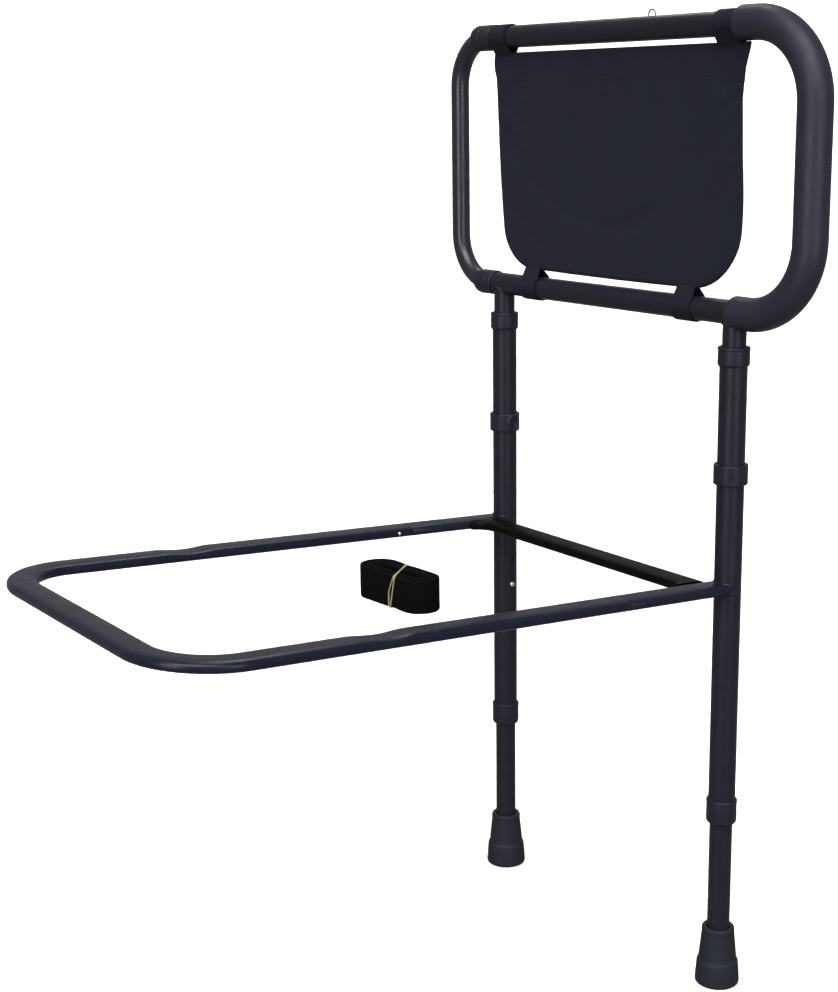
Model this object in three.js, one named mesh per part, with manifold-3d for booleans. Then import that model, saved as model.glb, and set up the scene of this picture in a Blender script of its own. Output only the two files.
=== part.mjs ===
// Bed assist rail: two telescoping legs, a frame that slides under the mattress, and a padded handle that
// carries a fabric pocket. Millimetres, +Z up. X runs from the left leg to the right leg, -Y runs under the
// mattress, and the floor is Z = 0. The origin is the centre of the bounding box's floor.
import * as THREE from 'three';
import { mergeVertices } from 'three/addons/utils/BufferGeometryUtils.js';
import Module from 'manifold-3d';

const wasm = await Module();
wasm.setup();

// ---- driving dimensions ----
const GAP = 0.3; // clearance between pieces that touch
const WALL = 1.2; // tube wall

const LEG_SPACING = 380; // between the two leg axes
const LEG_RADIUS = 14.3; // outer leg tube
const LEG_WALL = 1.5;
const LEG_BOTTOM = 192; // lower end of the outer leg tube
const LEG_TOP = 703.8;
const INNER_RADIUS = 12.25; // lower leg and handle stem tubes
const LOWER_LEG_BOTTOM = 14.6;
const LOWER_LEG_TOP = 385;
const LEG_HOLE = 372; // snap hole in use
const HOLE_PITCH = 29.3; // up to the spare snap hole
const HOLE_RADIUS = 3.7;

const COLLAR_RADIUS = 16.6;
const COLLAR_LIP = 2.4; // thickness of the collar's end over the tube's end
const TOP_COLLAR_DEPTH = 18;
const BOTTOM_COLLAR_DEPTH = 24.5;
const RING_RADIUS = 17.8; // guard ring round the stem's snap button
const RING_HEIGHT = 22;
const STEM_HOLE = 574; // height of the stem's snap button and of the guard ring

const FOOT_HEIGHT = 67;
const FOOT_TOP_RADIUS = 17.2;
const FOOT_WAIST_RADIUS = 20.9; // foot of the taper, above the skirt
const SKIRT_HEIGHT = 28;
const SKIRT_TOP_RADIUS = 22.6;
const SOLE_RADIUS = 24.2;
const SOCKET_FLOOR = 12;
const WASHER_THICKNESS = 2;

const OVAL_WIDTH = 31; // flat-oval tube of the under-mattress frame
const OVAL_HEIGHT = 11.5;
const BASE_HEIGHT = 452.5; // frame's centre line at the legs
const BASE_LENGTH = 644.6; // leg axis to the front bar's centre line
const BASE_RISE = THREE.MathUtils.degToRad(3.56); // the frame rises towards the front bar
const BASE_BEND = 70;
const JOINT_DISTANCE = 148; // where the front loop meets the rear arms
const SPIGOT_END = 204; // end of the arm's reduced part inside the loop
const LOOP_HOLE = 167; // snap button between the loop and each arm
const CROSS_BAR_DISTANCE = 33.8;
const CROSS_BAR_FILLET = 20;
const NOTCH_DISTANCE = 435; // deepest line of the saddle notches
const NOTCH_NEAR = 28; // steep side, towards the legs
const NOTCH_FAR = 42; // shallow side, towards the front bar
const NOTCH_DEPTH = 2.2;

const TOP_RAIL_HEIGHT = 1022.3;
const LOWER_RAIL_HEIGHT = 739.9;
const RAIL_RADIUS = 12.5;
const HOOP_END = -218; // open left ends of the hoop
const RIGHT_BAR = 286.6;
const RIGHT_BEND = 77;
const LEFT_BAR = -275.3;
const LEFT_BEND = 55;
const END_TUBE_RADIUS = 10.75;
const END_TUBE_TIP = -196; // how far the end tube reaches into the hoop
const GRIP_RADIUS = 17.25;
const GRIP_END = 189.5;
const STEM_BOTTOM = 555;
const TOP_SLEEVE = { from: -239, to: -203, radius: 14.75 };
const LOWER_SLEEVE = { from: -236, to: -203, radius: 14.3 };
const EYELET = { x: 60, radius: 5.2, wire: 0.85, rise: 1 };

const POCKET_X = -3;
const POCKET_WIDTH = 398;
const POCKET_TOP = 1005;
const POCKET_BOTTOM = 762;
const POCKET_CORNER = 50;
const POCKET_THICKNESS = 12;
const POCKET_MOUTH = 966; // top edge of the front panel
const FABRIC = 2.4;
const TAB_EDGES = { left: [-201, -173], right: [160.5, 187.5] };
const STRAP_EDGES = { left: [-145, -117], right: [109, 137] };

const HANK = { x: 59.5, y: -325.5, z: 465, turn: 0.07, length: 103, depth: 40.5, waist: 38, width: 33 };
const BAND = { width: 4, thickness: 1.2 };

const ROUND_SIDES = 20; // straight tubes and collars
const BENT_SIDES = 16; // bent tubes
const BEND_STEPS = 5; // steps in a quarter bend

// ---- materials ----
const paint = (color, roughness, metalness) => new THREE.MeshStandardMaterial({ color, roughness, metalness });
const navyCoat = () => paint(0x24262f, 0.45, 0.3);
const blackCoat = () => paint(0x141415, 0.5, 0.3);
const collarPlastic = () => paint(0x2a2b33, 0.4, 0);
const footRubber = () => paint(0x24272f, 0.8, 0);
const gripFoam = () => paint(0x25262f, 0.75, 0);
const pocketFabric = () => paint(0x20242b, 0.95, 0);
const blackWebbing = () => paint(0x111112, 0.9, 0);
const bandRubber = () => paint(0x8c8250, 0.6, 0);
const steel = () => paint(0xc8cacf, 0.3, 0.9);

// ---- solids ----
function manifoldOf(geometry) {
  const bare = geometry.clone();
  bare.deleteAttribute('normal');
  bare.deleteAttribute('uv');
  const merged = mergeVertices(bare, 1e-4);
  const mesh = new wasm.Mesh({
    numProp: 3,
    vertProperties: new Float32Array(merged.attributes.position.array),
    triVerts: new Uint32Array(merged.index.array),
  });
  return new wasm.Manifold(mesh);
}

function geometryOf(solid) {
  const mesh = solid.getMesh();
  const geometry = new THREE.BufferGeometry();
  geometry.setAttribute('position', new THREE.BufferAttribute(mesh.vertProperties, 3));
  geometry.setIndex(new THREE.BufferAttribute(mesh.triVerts, 1));
  return geometry;
}

function cut(geometry, ...cutters) {
  const solid = cutters.reduce((left, cutter) => left.subtract(manifoldOf(cutter)), manifoldOf(geometry));
  return geometryOf(solid);
}

function join(first, ...others) {
  return geometryOf(others.reduce((sum, other) => sum.add(manifoldOf(other)), manifoldOf(first)));
}

// A profile of [radius, height] pairs turned about the Z axis.
function turned(profile, sides = ROUND_SIDES) {
  const points = profile.map(([radius, height]) => new THREE.Vector2(radius, height));
  return new THREE.LatheGeometry(points, sides).rotateX(Math.PI / 2);
}

function ring(innerRadius, outerRadius, bottom, top, sides = ROUND_SIDES) {
  return turned(
    [[innerRadius, bottom], [outerRadius, bottom], [outerRadius, top], [innerRadius, top], [innerRadius, bottom]],
    sides,
  );
}

function rod(radius, bottom, top, sides = ROUND_SIDES) {
  return turned([[0, bottom], [radius, bottom], [radius, top], [0, top]], sides);
}

// An outline drawn in the YZ plane and given a length along X, centred on x.
function alongX(outline, x, length) {
  const axes = new THREE.Matrix4().makeBasis(
    new THREE.Vector3(0, 1, 0), new THREE.Vector3(0, 0, 1), new THREE.Vector3(1, 0, 0),
  );
  const geometry = new THREE.ExtrudeGeometry(outline, { depth: length, bevelEnabled: false, curveSegments: 10 });
  return geometry.applyMatrix4(axes).translate(x - length / 2, 0, 0);
}

// An outline drawn in the XZ plane and given a thickness from y1 back to y0.
function alongY(outline, y0, y1) {
  const options = { depth: y1 - y0, bevelEnabled: false, curveSegments: 8 };
  return new THREE.ExtrudeGeometry(outline, options).rotateX(Math.PI / 2).translate(0, y1, 0);
}

// ---- bent tubes ----
// A path that holds its own stations, so straight stretches need only their two ends.
class StationPath extends THREE.Curve {
  constructor(stations) {
    super();
    this.stations = stations;
  }
  at(u) {
    return this.stations[Math.round(u * (this.stations.length - 1))];
  }
  getPointAt(u, target = new THREE.Vector3()) {
    return target.copy(this.at(u).point);
  }
  getPoint(u, target) {
    return this.getPointAt(u, target);
  }
  getTangentAt(u, target = new THREE.Vector3()) {
    return target.copy(this.at(u).tangent);
  }
}

const station = (point, tangent) => ({ point, tangent: tangent.clone().normalize() });

// Stations of a quarter bend about centre, from direction "from" towards direction "to", both unit vectors.
function quarterBend(centre, radius, from, to) {
  return Array.from({ length: BEND_STEPS + 1 }, (_, i) => {
    const angle = (i / BEND_STEPS) * (Math.PI / 2);
    const out = from.clone().multiplyScalar(Math.cos(angle)).addScaledVector(to, Math.sin(angle));
    const along = to.clone().multiplyScalar(Math.cos(angle)).addScaledVector(from, -Math.sin(angle));
    return station(centre.clone().addScaledVector(out, radius), along);
  });
}

function sweep(stations, section) {
  const extrudePath = new StationPath(stations);
  return new THREE.ExtrudeGeometry(section, { steps: stations.length - 1, extrudePath, curveSegments: 3 });
}

function roundSection(outerRadius, innerRadius = 0) {
  const shape = new THREE.Shape(circlePoints(outerRadius));
  if (innerRadius > 0) shape.holes.push(new THREE.Path(circlePoints(innerRadius)));
  return shape;
}

function circlePoints(radius, sides = BENT_SIDES) {
  return Array.from({ length: sides }, (_, i) => {
    const angle = (i / sides) * 2 * Math.PI;
    return new THREE.Vector2(radius * Math.cos(angle), radius * Math.sin(angle));
  });
}

// A flat oval with straight top and bottom. The section's x runs up and its y runs across.
function ovalPath(path, width, height) {
  const radius = height / 2;
  const reach = width / 2 - radius;
  path.moveTo(radius, -reach);
  path.lineTo(radius, reach);
  path.absarc(0, reach, radius, 0, Math.PI, false);
  path.lineTo(-radius, -reach);
  path.absarc(0, -reach, radius, Math.PI, 2 * Math.PI, false);
  return path;
}

function ovalSection(width, height, wall = 0) {
  const shape = ovalPath(new THREE.Shape(), width, height);
  if (wall > 0) shape.holes.push(ovalPath(new THREE.Path(), width - 2 * wall, height - 2 * wall));
  return shape;
}

// ---- placing ----
function place(parent, name, geometry, material) {
  const mesh = new THREE.Mesh(geometry, material);
  mesh.name = name;
  parent.add(mesh);
  return mesh;
}

const SIDES = [
  { name: 'left', sign: -1 },
  { name: 'right', sign: 1 },
];

const UP = new THREE.Vector3(0, 0, 1);
const DOWN = new THREE.Vector3(0, 0, -1);
const EAST = new THREE.Vector3(1, 0, 0);
const WEST = new THREE.Vector3(-1, 0, 0);
const NORTH = new THREE.Vector3(0, 1, 0);
const SOUTH = new THREE.Vector3(0, -1, 0);

// A short rod along +X, used for snap buttons and the holes that they stand in.
const rodAlongX = (radius, from, to, sides = 12) => rod(radius, from, to, sides).rotateY(Math.PI / 2);

// ---- snap buttons ----
const FLANGE = 1.6; // thickness of the button's flange

// How far out a flange of this radius can stand inside a round wall.
const seatInside = (wallRadius, flangeRadius) => Math.sqrt(wallRadius ** 2 - flangeRadius ** 2) - 2 * GAP;

// A domed head on a flange that stops at "seat" inside the tube wall, pointing along +X from the tube's axis.
function snapButton(flangeRadius, neck, seat, tip) {
  const dome = 2;
  const profile = [
    [0, seat - FLANGE], [flangeRadius, seat - FLANGE], [flangeRadius, seat], [neck, seat],
    [neck, tip - dome], [neck * 0.85, tip - dome * 0.45], [neck * 0.5, tip - dome * 0.1], [0, tip],
  ];
  return turned(profile, 12).rotateY(Math.PI / 2);
}

// A bent strip of spring steel: the button's arm, the bend and the arm that rests on the far wall.
// The V opens towards the button and its bend lies along +Z from it.
function vSpring(seat, width, length) {
  const thickness = 0.8;
  const near = seat - FLANGE - GAP - thickness / 2;
  const far = -(seat - thickness / 2);
  const line = [[near, -5], [near, 6], [2, length - 3], [0, length], [-2, length - 3], [far, 4]];
  const points = line.map(([x, z]) => new THREE.Vector2(x, z));
  const outline = new THREE.Shape(stripOutline(points, thickness));
  return alongY(outline, -width / 2, width / 2);
}

// Both edges of a strip whose middle line runs through the points.
function stripOutline(points, thickness) {
  const side = (sign) => points.map((point, i) => {
    const before = points[Math.max(i - 1, 0)];
    const after = points[Math.min(i + 1, points.length - 1)];
    const along = after.clone().sub(before).normalize();
    return new THREE.Vector2(point.x - sign * along.y * thickness / 2, point.y + sign * along.x * thickness / 2);
  });
  return [...side(-1), ...side(1).reverse()];
}

// ---- legs ----
function outerLeg() {
  const tube = ring(LEG_RADIUS - LEG_WALL, LEG_RADIUS, LEG_BOTTOM, LEG_TOP);
  const holes = [LEG_HOLE, LEG_HOLE + HOLE_PITCH, STEM_HOLE].map((height) =>
    rodAlongX(HOLE_RADIUS, INNER_RADIUS - WALL, LEG_RADIUS + 1).translate(0, 0, height));
  return cut(tube, ...holes);
}

function lowerLeg() {
  const tube = ring(INNER_RADIUS - WALL, INNER_RADIUS, LOWER_LEG_BOTTOM, LOWER_LEG_TOP);
  return cut(tube, rodAlongX(HOLE_RADIUS, 0, LEG_RADIUS).translate(0, 0, LEG_HOLE));
}

// A plastic end collar, drawn for a tube end at height 0 with the tube below it.
function endCollar(depth) {
  const bore = INNER_RADIUS + GAP;
  const seat = LEG_RADIUS + GAP;
  const profile = [
    [seat, -depth], [COLLAR_RADIUS - 0.8, -depth], [COLLAR_RADIUS, -depth + 2], [COLLAR_RADIUS, COLLAR_LIP - 1.6],
    [COLLAR_RADIUS - 1.2, COLLAR_LIP], [bore, COLLAR_LIP], [bore, GAP], [seat, GAP], [seat, -depth],
  ];
  return turned(profile);
}

function guardRing() {
  const half = RING_HEIGHT / 2;
  const seat = LEG_RADIUS + GAP;
  const profile = [
    [seat, -half], [RING_RADIUS - 0.8, -half], [RING_RADIUS, -half + 0.8], [RING_RADIUS, half - 0.8],
    [RING_RADIUS - 0.8, half], [seat, half], [seat, -half],
  ];
  const recess = new THREE.SphereGeometry(1, 12, 8).scale(2.4, 6, 8.5).translate(RING_RADIUS + 0.4, 0, 0);
  const hole = rodAlongX(HOLE_RADIUS, LEG_RADIUS - 1, RING_RADIUS + 1);
  return cut(turned(profile), recess, hole).translate(0, 0, STEM_HOLE);
}

function foot() {
  const bore = INNER_RADIUS + GAP;
  return turned([
    [0, 0], [SOLE_RADIUS - 2.5, 0], [SOLE_RADIUS - 0.7, 0.9], [SOLE_RADIUS, 3],
    [SKIRT_TOP_RADIUS, SKIRT_HEIGHT - 1.5], [SKIRT_TOP_RADIUS - 1, SKIRT_HEIGHT],
    [FOOT_WAIST_RADIUS, SKIRT_HEIGHT + 1], [FOOT_TOP_RADIUS + 0.6, FOOT_HEIGHT - 5], [FOOT_TOP_RADIUS - 1.4, FOOT_HEIGHT], [bore, FOOT_HEIGHT],
    [bore, SOCKET_FLOOR], [0, SOCKET_FLOOR],
  ]);
}

function footWasher() {
  const bottom = SOCKET_FLOOR + GAP;
  return rod(INNER_RADIUS - 0.1, bottom, bottom + WASHER_THICKNESS - 0.1, 16);
}

function buildLeg(parent, { name, sign }) {
  const leg = new THREE.Group();
  leg.position.set((sign * LEG_SPACING) / 2, 0, 0);
  leg.rotation.z = sign > 0 ? Math.PI : 0; // the snap buttons face the other leg
  parent.add(leg);
  const inside = INNER_RADIUS - WALL;
  place(leg, `outer_leg_${name}`, outerLeg(), navyCoat());
  place(leg, `lower_leg_${name}`, lowerLeg(), navyCoat());
  place(leg, `top_collar_${name}`, endCollar(TOP_COLLAR_DEPTH).translate(0, 0, LEG_TOP), collarPlastic());
  const bottomCollar = endCollar(BOTTOM_COLLAR_DEPTH).rotateX(Math.PI).translate(0, 0, LEG_BOTTOM);
  place(leg, `bottom_collar_${name}`, bottomCollar, collarPlastic());
  place(leg, `guard_ring_${name}`, guardRing(), collarPlastic());
  place(leg, `foot_${name}`, foot(), footRubber());
  place(leg, `foot_washer_${name}`, footWasher(), steel());
  const flange = 4.5;
  const seat = seatInside(inside, flange);
  const legButton = snapButton(flange, 3.3, seat, LEG_RADIUS + 2).translate(0, 0, LEG_HOLE);
  place(leg, `leg_button_${name}`, legButton, steel());
  const legSpring = vSpring(seat, 6, 36).rotateX(Math.PI).translate(0, 0, LEG_HOLE);
  place(leg, `leg_spring_${name}`, legSpring, steel());
  const stemButton = snapButton(flange, 3.3, seat, RING_RADIUS - 0.8).translate(0, 0, STEM_HOLE);
  place(leg, `stem_button_${name}`, stemButton, collarPlastic());
  place(leg, `stem_spring_${name}`, vSpring(seat, 6, 36).translate(0, 0, STEM_HOLE), steel());
}

// ---- under-mattress frame, drawn flat and then tilted about the leg line ----
const legX = LEG_SPACING / 2;

function straightOval(width, height, wall, x, from, to) {
  const stations = [station(new THREE.Vector3(x, -from, 0), SOUTH), station(new THREE.Vector3(x, -to, 0), SOUTH)];
  return sweep(stations, ovalSection(width, height, wall));
}

// The hole on the bed-side flank that the loop's snap button stands in.
function loopButtonHole(x) {
  const hole = rodAlongX(2.6, 2, OVAL_WIDTH / 2 + 4).rotateZ(x > 0 ? Math.PI : 0);
  return hole.translate(x, -LOOP_HOLE, 0);
}

function rearArm(x) {
  const clearWall = WALL + 0.3;
  const spigotWidth = OVAL_WIDTH - 2 * clearWall;
  const spigotHeight = OVAL_HEIGHT - 2 * clearWall;
  const body = straightOval(OVAL_WIDTH, OVAL_HEIGHT, 0, x, 2, JOINT_DISTANCE - GAP);
  const spigot = straightOval(spigotWidth, spigotHeight, 0, x, JOINT_DISTANCE - 30, SPIGOT_END);
  const bore = straightOval(spigotWidth - 2 * WALL, spigotHeight - 2 * WALL, 0, x, -20, SPIGOT_END + 5);
  const legSeat = rod(LEG_RADIUS + GAP, -40, 40).rotateX(BASE_RISE).translate(x, 0, 0);
  return cut(join(body, spigot), bore, legSeat, loopButtonHole(x));
}

function loopStations() {
  const side = legX - BASE_BEND;
  const steps = [-NOTCH_NEAR, -NOTCH_NEAR / 2, 0, NOTCH_FAR / 2, NOTCH_FAR];
  const notchSteps = steps.map((step) => NOTCH_DISTANCE + step);
  const leftBend = new THREE.Vector3(-side, BASE_BEND - BASE_LENGTH, 0);
  const rightBend = new THREE.Vector3(side, BASE_BEND - BASE_LENGTH, 0);
  return [
    ...[JOINT_DISTANCE, ...notchSteps].map((y) => station(new THREE.Vector3(-legX, -y, 0), SOUTH)),
    ...quarterBend(leftBend, BASE_BEND, WEST, SOUTH),
    ...quarterBend(rightBend, BASE_BEND, SOUTH, EAST),
    ...[...notchSteps.reverse(), JOINT_DISTANCE].map((y) => station(new THREE.Vector3(legX, -y, 0), NORTH)),
  ];
}

// Presses a saddle into the top of both side tubes.
function pressNotches(geometry) {
  const position = geometry.attributes.position;
  for (let i = 0; i < position.count; i += 1) {
    const past = -position.getY(i) - NOTCH_DISTANCE;
    const along = past / (past < 0 ? NOTCH_NEAR : NOTCH_FAR);
    const z = position.getZ(i);
    if (Math.abs(along) < 1 && z > 0) position.setZ(i, z - NOTCH_DEPTH * Math.cos((along * Math.PI) / 2));
  }
  return geometry;
}

function frontLoop() {
  const tube = pressNotches(sweep(loopStations(), ovalSection(OVAL_WIDTH, OVAL_HEIGHT, WALL)));
  return cut(tube, loopButtonHole(-legX), loopButtonHole(legX));
}

// A plate with a hollow curve that fills the corner between the cross bar and a rear arm.
function cornerFillet(sign) {
  const r = CROSS_BAR_FILLET;
  const corner = new THREE.Shape();
  corner.moveTo(1, 1);
  corner.lineTo(-r, 1);
  corner.lineTo(-r, 0);
  corner.absarc(-r, -r, r, Math.PI / 2, 0, true);
  corner.lineTo(1, -r);
  const plate = new THREE.ExtrudeGeometry(corner, { depth: 7, bevelEnabled: false, curveSegments: 5 });
  plate.translate(legX - OVAL_WIDTH / 2, -CROSS_BAR_DISTANCE - OVAL_WIDTH / 2 + 2, -3.5);
  return sign > 0 ? plate : plate.rotateZ(Math.PI).rotateX(Math.PI);
}

function crossBar() {
  const y = -CROSS_BAR_DISTANCE;
  const stations = [-legX, legX].map((x) => station(new THREE.Vector3(x, y, 0), EAST));
  const bar = sweep(stations, ovalSection(OVAL_WIDTH, OVAL_HEIGHT));
  const bore = sweep(
    [-legX, legX].map((x) => station(new THREE.Vector3(x * 1.1, y, 0), EAST)),
    ovalSection(OVAL_WIDTH - 2 * WALL, OVAL_HEIGHT - 2 * WALL),
  );
  const seats = [-legX, legX].map((x) =>
    straightOval(OVAL_WIDTH + 2 * GAP, OVAL_HEIGHT + 2 * GAP, 0, x, -10, JOINT_DISTANCE));
  const outside = legX + OVAL_WIDTH / 2 + 12;
  const beyond = [-outside, outside].map((x) => straightOval(2 * OVAL_WIDTH, 40, 0, x, -10, 130));
  return cut(join(bar, cornerFillet(-1), cornerFillet(1)), bore, ...seats, ...beyond);
}

function buildBase(parent) {
  const base = new THREE.Group();
  base.position.set(0, 0, BASE_HEIGHT);
  base.rotation.x = -BASE_RISE;
  parent.add(base);
  const flange = 2.7;
  const boreEnd = OVAL_HEIGHT / 2 - 2 * WALL - GAP; // radius of the round sides of the arm's bore
  const seat = (OVAL_WIDTH - OVAL_HEIGHT) / 2 + seatInside(boreEnd, flange);
  for (const { name, sign } of SIDES) {
    place(base, `rear_arm_${name}`, rearArm(sign * legX), navyCoat());
    const turn = sign > 0 ? Math.PI : 0;
    const button = snapButton(flange, 2.2, seat, OVAL_WIDTH / 2 + 1.8).rotateZ(turn);
    place(base, `loop_button_${name}`, button.translate(sign * legX, -LOOP_HOLE, 0), steel());
    const spring = vSpring(seat, 4, 36).rotateX((-sign * Math.PI) / 2).rotateZ(turn);
    place(base, `loop_spring_${name}`, spring.translate(sign * legX, -LOOP_HOLE, 0), steel());
  }
  place(base, 'cross_bar', crossBar(), blackCoat());
  place(base, 'front_loop', frontLoop(), navyCoat());
}

// ---- handle ----
const inPlane = (x, z) => new THREE.Vector3(x, 0, z);

// The right-hand end of the handle, from x on the top rail round to x on the lower rail.
function rightEndStations(x) {
  const bend = RIGHT_BAR - RIGHT_BEND;
  return [
    station(inPlane(x, TOP_RAIL_HEIGHT), EAST),
    ...quarterBend(inPlane(bend, TOP_RAIL_HEIGHT - RIGHT_BEND), RIGHT_BEND, UP, EAST),
    ...quarterBend(inPlane(bend, LOWER_RAIL_HEIGHT + RIGHT_BEND), RIGHT_BEND, EAST, DOWN),
    station(inPlane(x, LOWER_RAIL_HEIGHT), WEST),
  ];
}

function leftEndStations(x) {
  const bend = LEFT_BAR + LEFT_BEND;
  return [
    station(inPlane(x, LOWER_RAIL_HEIGHT), WEST),
    ...quarterBend(inPlane(bend, LOWER_RAIL_HEIGHT + LEFT_BEND), LEFT_BEND, DOWN, WEST),
    ...quarterBend(inPlane(bend, TOP_RAIL_HEIGHT - LEFT_BEND), LEFT_BEND, WEST, UP),
    station(inPlane(x, TOP_RAIL_HEIGHT), EAST),
  ];
}

const railAt = (radius, from, to, height) => rod(radius, from, to).rotateY(Math.PI / 2).translate(0, 0, height);

function endSleeve({ from, to, radius }, height) {
  const length = to - from;
  const shell = turned([
    [0, 0], [radius * 0.72, 0], [radius * 0.9, 1.6], [radius, 6],
    [radius, length - 1], [radius - 0.8, length], [0, length],
  ]).rotateY(Math.PI / 2).translate(from, 0, height);
  const hoopSeat = railAt(RAIL_RADIUS + GAP, HOOP_END - GAP, to + 5, height);
  const tubeSeat = sweep(leftEndStations(END_TUBE_TIP), roundSection(END_TUBE_RADIUS + GAP));
  return cut(shell, hoopSeat, tubeSeat);
}

function grip() {
  const foam = sweep(rightEndStations(GRIP_END), roundSection(GRIP_RADIUS, RAIL_RADIUS + GAP));
  return cut(foam, rod(INNER_RADIUS + GAP, 700, LOWER_RAIL_HEIGHT).translate(legX, 0, 0));
}

function stem() {
  const inside = INNER_RADIUS - WALL;
  const tube = ring(inside, INNER_RADIUS, STEM_BOTTOM, LOWER_RAIL_HEIGHT - 2);
  const rail = railAt(RAIL_RADIUS + GAP, -40, 40, LOWER_RAIL_HEIGHT);
  return cut(tube, rail, rodAlongX(HOLE_RADIUS, 0, LEG_RADIUS).translate(0, 0, STEM_HOLE));
}

// An arch of wire that stands on the top rail.
function wireEyelet() {
  const ring = new THREE.TorusGeometry(EYELET.radius, EYELET.wire, 8, 24);
  ring.rotateX(Math.PI / 2).translate(EYELET.x, 0, TOP_RAIL_HEIGHT + RAIL_RADIUS + EYELET.rise);
  return cut(ring, railAt(RAIL_RADIUS + GAP, EYELET.x - 20, EYELET.x + 20, TOP_RAIL_HEIGHT));
}

function buildHandle(parent) {
  const tube = roundSection(RAIL_RADIUS, RAIL_RADIUS - WALL);
  place(parent, 'handle_hoop', sweep(rightEndStations(HOOP_END), tube), navyCoat());
  const endTube = sweep(leftEndStations(END_TUBE_TIP), roundSection(END_TUBE_RADIUS, END_TUBE_RADIUS - WALL));
  place(parent, 'end_tube', endTube, navyCoat());
  place(parent, 'end_sleeve_top', endSleeve(TOP_SLEEVE, TOP_RAIL_HEIGHT), collarPlastic());
  place(parent, 'end_sleeve_lower', endSleeve(LOWER_SLEEVE, LOWER_RAIL_HEIGHT), collarPlastic());
  place(parent, 'grip', grip(), gripFoam());
  for (const { name, sign } of SIDES) {
    const mesh = place(parent, `stem_${name}`, stem(), navyCoat());
    mesh.position.x = sign * legX;
    mesh.rotation.z = sign > 0 ? Math.PI : 0;
  }
  place(parent, 'wire_eyelet', wireEyelet(), steel());
}

// ---- fabric pocket ----
function panelOutline(inset, top) {
  const half = POCKET_WIDTH / 2 - inset;
  const bottom = POCKET_BOTTOM + inset;
  const radius = POCKET_CORNER - inset;
  const left = POCKET_X - half;
  const right = POCKET_X + half;
  const shape = new THREE.Shape();
  shape.moveTo(left, top);
  shape.lineTo(left, bottom + radius);
  shape.absarc(left + radius, bottom + radius, radius, Math.PI, 1.5 * Math.PI, false);
  shape.absarc(right - radius, bottom + radius, radius, 1.5 * Math.PI, 2 * Math.PI, false);
  shape.lineTo(right, top);
  return shape;
}

function pocketFrontPanel() {
  const outside = POCKET_THICKNESS / 2;
  const slab = alongY(panelOutline(0, POCKET_MOUTH), FABRIC + GAP - outside, outside);
  const hollow = alongY(panelOutline(FABRIC, POCKET_MOUTH + 10), -outside - 5, outside - FABRIC);
  return cut(slab, hollow);
}

// A loop of fabric round a rail that closes to an edge at height "tip".
function railLoop([from, to], railHeight, tip) {
  const radius = RAIL_RADIUS + GAP + 2;
  const reach = tip - railHeight;
  const shape = new THREE.Shape();
  const lean = Math.acos(radius / Math.abs(reach)); // where the straight sides leave the ring
  const up = Math.sign(reach) * (Math.PI / 2);
  shape.absarc(0, 0, radius, up + lean, up - lean + 2 * Math.PI, false);
  shape.lineTo(0, reach);
  const bore = railAt(RAIL_RADIUS + GAP, from - 5, to + 5, railHeight);
  return cut(alongX(shape, (from + to) / 2, to - from).translate(0, 0, railHeight), bore);
}

function buildPocket(parent) {
  const outside = POCKET_THICKNESS / 2;
  const back = alongY(panelOutline(0, POCKET_TOP), -outside, FABRIC - outside);
  place(parent, 'pocket_back_panel', back, pocketFabric());
  place(parent, 'pocket_front_panel', pocketFrontPanel(), pocketFabric());
  for (const { name } of SIDES) {
    const tab = railLoop(TAB_EDGES[name], TOP_RAIL_HEIGHT, POCKET_TOP + GAP);
    place(parent, `pocket_tab_${name}`, tab, pocketFabric());
    const strap = railLoop(STRAP_EDGES[name], LOWER_RAIL_HEIGHT, POCKET_BOTTOM - GAP);
    place(parent, `pocket_strap_${name}`, strap, pocketFabric());
  }
}

// ---- rolled safety strap ----
function hankOutline() {
  const radius = HANK.depth / 2;
  const reach = HANK.length / 2 - radius;
  const shape = new THREE.Shape();
  shape.moveTo(-reach, -radius);
  shape.bezierCurveTo(-reach / 2, -radius, -reach / 2, -HANK.waist / 2, 0, -HANK.waist / 2);
  shape.bezierCurveTo(reach / 2, -HANK.waist / 2, reach / 2, -radius, reach, -radius);
  shape.absarc(reach, 0, radius, -Math.PI / 2, Math.PI / 2, false);
  shape.bezierCurveTo(reach / 2, radius, reach / 2, HANK.waist / 2, 0, HANK.waist / 2);
  shape.bezierCurveTo(-reach / 2, HANK.waist / 2, -reach / 2, radius, -reach, radius);
  shape.absarc(-reach, 0, radius, Math.PI / 2, 1.5 * Math.PI, false);
  return shape;
}

function rubberBand() {
  const half = HANK.waist / 2 + GAP + 0.2;
  const frame = (y, margin) => {
    const corners = [[-y, -margin], [y, -margin], [y, HANK.width + margin], [-y, HANK.width + margin]];
    return corners.map(([across, height]) => new THREE.Vector2(across, height));
  };
  const outer = new THREE.Shape(frame(half + BAND.thickness, GAP + BAND.thickness));
  outer.holes.push(new THREE.Path(frame(half, GAP)));
  return alongX(outer, 0, BAND.width);
}

function buildStrap(parent) {
  const strap = new THREE.Group();
  strap.position.set(HANK.x, HANK.y, HANK.z);
  strap.rotation.z = HANK.turn;
  parent.add(strap);
  const options = { depth: HANK.width, bevelEnabled: false, curveSegments: 8 };
  const bundle = new THREE.ExtrudeGeometry(hankOutline(), options);
  place(strap, 'strap_hank', bundle, blackWebbing());
  place(strap, 'rubber_band', rubberBand(), bandRubber());
}

// ---- assembly ----
const rail = new THREE.Group();
SIDES.forEach((side) => buildLeg(rail, side));
buildBase(rail);
buildHandle(rail);
buildPocket(rail);
buildStrap(rail);

const bounds = new THREE.Box3().setFromObject(rail, true);
const middle = bounds.getCenter(new THREE.Vector3());
rail.position.set(-middle.x, -middle.y, 0);

export default rail;
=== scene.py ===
"""The bed assist rail's looks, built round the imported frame.

Shapes are written in millimetres from the middle of the line between the two legs, on the floor.
"""

import math

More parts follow.
